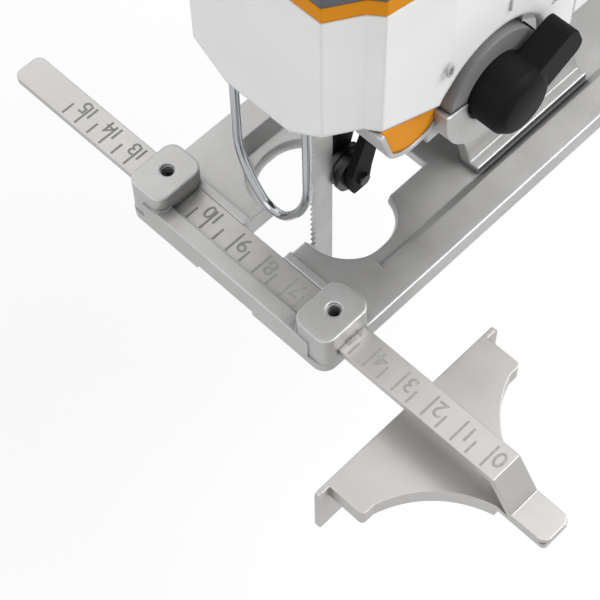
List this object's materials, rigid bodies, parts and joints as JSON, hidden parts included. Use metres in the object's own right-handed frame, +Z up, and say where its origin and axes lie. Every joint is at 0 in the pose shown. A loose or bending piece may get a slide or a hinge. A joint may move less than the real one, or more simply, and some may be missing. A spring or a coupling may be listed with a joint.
{
  "type": "jigsaw",
  "caption": "Corded jigsaw with a D handle, a tilting cast base, a wire blade guard, an orbit selector and a ruled parallel guide with a curved fence",
  "frame": {"origin": "where the cutting plane, X = 0, and the bevel pivot line, along Y, meet the sole, Z = 0", "axes": "X to the tool's left across the cut, Y from the blade to the tool's back, Z up from the sole"},
  "size_m": [0.198, 0.2463, 0.2236],
  "materials": {
    "aluminium_casting": "bead-blasted die casting, machined seats",
    "zinc_plated_steel": "satin zinc plate",
    "steel": "ground steel",
    "guard_wire": "bright plated wire",
    "blade_steel": "dark satin tool steel",
    "black_plastic": "fine satin grain",
    "grey_dial": "fine satin grain",
    "white_shell": "smooth satin gloss",
    "orange_trim": "smooth satin",
    "slate_shell": "fine spark grain",
    "soft_rubber": "moulded grain",
    "laminated_iron": "stacked sheet edges, oiled",
    "copper": "turned copper",
    "sintered_bronze": "sintered, oiled",
    "carbon": "pressed carbon"
  },
  "bodies": {
    "machine": {"gear_case": "aluminium_casting", "bearing_plate": "aluminium_casting", "case_screws": "steel", "front_bearing": "steel", "gear_pin": "steel", "lower_bush": "sintered_bronze", "upper_bush": "sintered_bronze", "arm_pivot_pin": "steel", "clamp_plate": "aluminium_casting", "bevel_screws": "steel", "blade_guard": "guard_wire", "front_cover": "white_shell", "side_panel_left": "orange_trim", "side_panel_right": "orange_trim", "accent_band": "orange_trim", "housing_left": "white_shell", "housing_right": "white_shell", "housing_screws": "steel", "stator": "laminated_iron", "rear_bearing": "steel", "carbon_brushes": "carbon", "brush_holders": "black_plastic", "handle_left": "slate_shell", "handle_right": "slate_shell", "handle_screws": "steel", "soft_grip": "soft_rubber", "switch_module": "black_plastic", "wheel_axle": "steel", "cable_bush": "soft_rubber"},
    "base": {"base_plate": "aluminium_casting", "bevel_bracket": "aluminium_casting"},
    "guide": {"guide_rule": "zinc_plated_steel", "guide_fence": "zinc_plated_steel"},
    "plunger": {"plunger_rod": "steel", "yoke": "steel", "blade_holder": "black_plastic", "blade": "blade_steel"},
    "clamp_ring": {"blade_clamp_ring": "black_plastic"},
    "gear": {"drive_gear": "steel", "crank_bush": "steel"},
    "armature": {"armature_shaft": "steel", "armature_core": "laminated_iron", "armature_winding": "copper", "commutator": "copper", "fan": "black_plastic"},
    "arm": {"roller_arm": "black_plastic", "roller_pin": "steel"},
    "roller": {"guide_roller": "steel"},
    "selector": {"selector_dial": "grey_dial", "selector_knob": "black_plastic", "selector_shaft": "steel"},
    "trigger": {"trigger": "black_plastic"},
    "lock": {"lock_button": "black_plastic"},
    "wheel": {"speed_wheel": "black_plastic"}
  },
  "joints": [
    {"name": "base_tilt", "type": "hinge", "parent": "machine", "child": "base", "pos_m": [0, 0.02, 0], "axis": [0, 1, 0], "range_deg": [-45, 45]},
    {"name": "guide_slide", "type": "slide", "parent": "base", "child": "guide", "axis": [1, 0, 0], "range_m": [-0.018, 0.06]},
    {"name": "plunger_slide", "type": "slide", "parent": "machine", "child": "plunger", "axis": [0, 0, 1], "range_m": [-0.01, 0.01]},
    {"name": "clamp_ring_turn", "type": "hinge", "parent": "plunger", "child": "clamp_ring", "pos_m": [0, -0.03815, 0.0585], "axis": [0, 0, 1], "range_deg": [-60, 0], "stiffness_Nm_per_rad": 0.05, "springref_deg": 2.86},
    {"name": "armature_spin", "type": "hinge", "parent": "machine", "child": "armature", "pos_m": [0, 0.045, 0.08], "axis": [0, 1, 0], "continuous": true},
    {"name": "gear_spin", "type": "hinge", "parent": "machine", "child": "gear", "pos_m": [0, -0.019, 0.1088], "axis": [0, 1, 0], "continuous": true},
    {"name": "roller_arm_swing", "type": "hinge", "parent": "machine", "child": "arm", "pos_m": [0, -0.015, 0.045], "axis": [1, 0, 0], "range_deg": [0, 4]},
    {"name": "roller_spin", "type": "hinge", "parent": "arm", "child": "roller", "pos_m": [0, -0.02765, 0.009], "axis": [1, 0, 0], "continuous": true},
    {"name": "selector_turn", "type": "hinge", "parent": "machine", "child": "selector", "pos_m": [0.032, -0.0137, 0.064], "axis": [1, 0, 0], "range_deg": [-50, 100]},
    {"name": "trigger_press", "type": "slide", "parent": "machine", "child": "trigger", "axis": [0, 0, 1], "range_m": [0, 0.005], "stiffness_N_per_m": 400, "springref_m": -0.003},
    {"name": "lock_press", "type": "slide", "parent": "machine", "child": "lock", "axis": [-1, 0, 0], "range_m": [0, 0.003], "stiffness_N_per_m": 400, "springref_m": -0.003},
    {"name": "speed_wheel_turn", "type": "hinge", "parent": "machine", "child": "wheel", "pos_m": [0, -0.008, 0.173], "axis": [1, 0, 0], "range_deg": [-135, 135]}
  ],
  "couplings": [
    {"joint": "gear_spin", "follows": "armature_spin", "ratio": -0.125}
  ]
}
